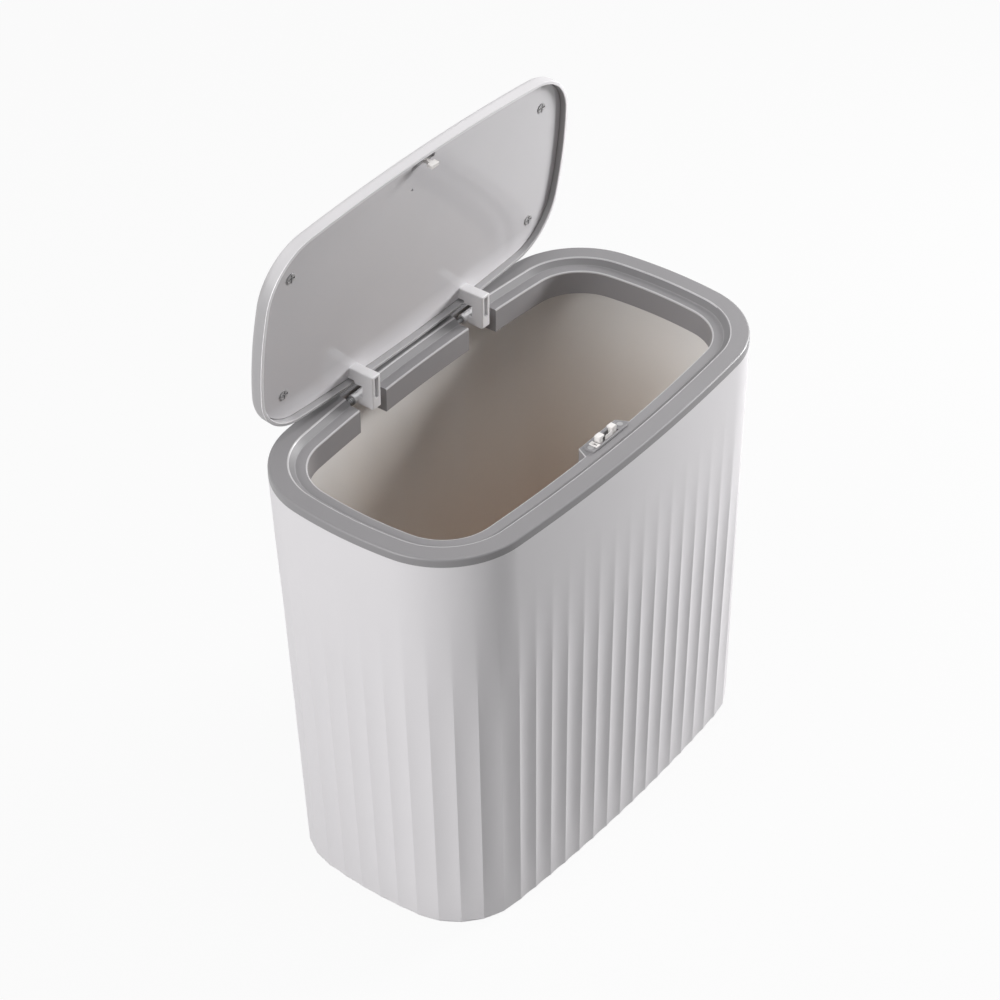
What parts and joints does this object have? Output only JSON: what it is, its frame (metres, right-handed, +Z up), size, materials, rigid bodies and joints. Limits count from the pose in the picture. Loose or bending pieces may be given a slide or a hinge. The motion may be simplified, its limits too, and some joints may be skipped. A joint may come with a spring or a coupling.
{
  "type": "wall-mounted trash can",
  "caption": "Fluted, tapered wall-hung waste bin with a lift-out trim ring, a sprung hinged lid on hooked arms and a touch latch, shown open.",
  "frame": {"origin": "centre of the wall plate's four screw holes, on the wall plane", "axes": "+X along the bin's long side, +Y into the wall, so the user stands at -Y, +Z up"},
  "size_m": [0.3, 0.1765, 0.3974],
  "materials": {
    "shell": "fine satin moulding",
    "ring": "satin moulding",
    "lid": "fine satin moulding",
    "liner": "satin moulding",
    "latch": "smooth white moulding",
    "steel": "drawn wire and rod",
    "plate": "satin moulding",
    "buffer": "matt"
  },
  "bodies": {
    "wall": {"wall_plate": "plate", "wall_buffers": "buffer"},
    "bin": {"bin_body": "shell"},
    "ring": {"trim_ring": "ring", "hinge_pin_left": "steel", "hinge_pin_right": "steel", "hinge_spring_left": "steel", "hinge_spring_right": "steel", "latch_housing": "latch", "latch_screws": "steel", "latch_spring": "steel", "cam_pin": "steel"},
    "lid": {"lid_cover": "lid", "lid_liner": "liner", "liner_screws": "liner", "striker": "latch", "striker_screws": "steel"},
    "latch": {"latch_slider": "latch", "jaw_pins": "steel"},
    "jaw_left": {"latch_jaw_left": "latch"},
    "jaw_right": {"latch_jaw_right": "latch"}
  },
  "joints": [
    {"name": "bin_lift", "type": "slide", "parent": "wall", "child": "bin", "axis": [0, 0, 1], "range_m": [0, 0.013]},
    {"name": "ring_lift", "type": "slide", "parent": "bin", "child": "ring", "axis": [0, 0, 1], "range_m": [0, 0.02]},
    {"name": "lid_hinge", "type": "hinge", "parent": "ring", "child": "lid", "pos_m": [0, -0.023, 0.065], "axis": [1, 0, 0], "range_deg": [0, 83.3], "stiffness_Nm_per_rad": 0.06, "springref_deg": -51.57},
    {"name": "latch_slide", "type": "slide", "parent": "ring", "child": "latch", "axis": [0, 0, -1], "range_m": [0, 0.004], "stiffness_N_per_m": 200, "springref_m": -0.002, "deforming": ["latch_spring"]},
    {"name": "jaw_left_pivot", "type": "hinge", "parent": "latch", "child": "jaw_left", "pos_m": [-0.0063, -0.1543, 0.0585], "axis": [0, 1, 0], "range_deg": [0, 10]},
    {"name": "jaw_right_pivot", "type": "hinge", "parent": "latch", "child": "jaw_right", "pos_m": [0.0063, -0.1543, 0.0585], "axis": [0, -1, 0], "range_deg": [0, 10]}
  ],
  "couplings": [
    {"joint": "jaw_left_pivot", "follows": "latch_slide", "rad_per_m": 34.9},
    {"joint": "jaw_right_pivot", "follows": "latch_slide", "rad_per_m": 34.9}
  ]
}
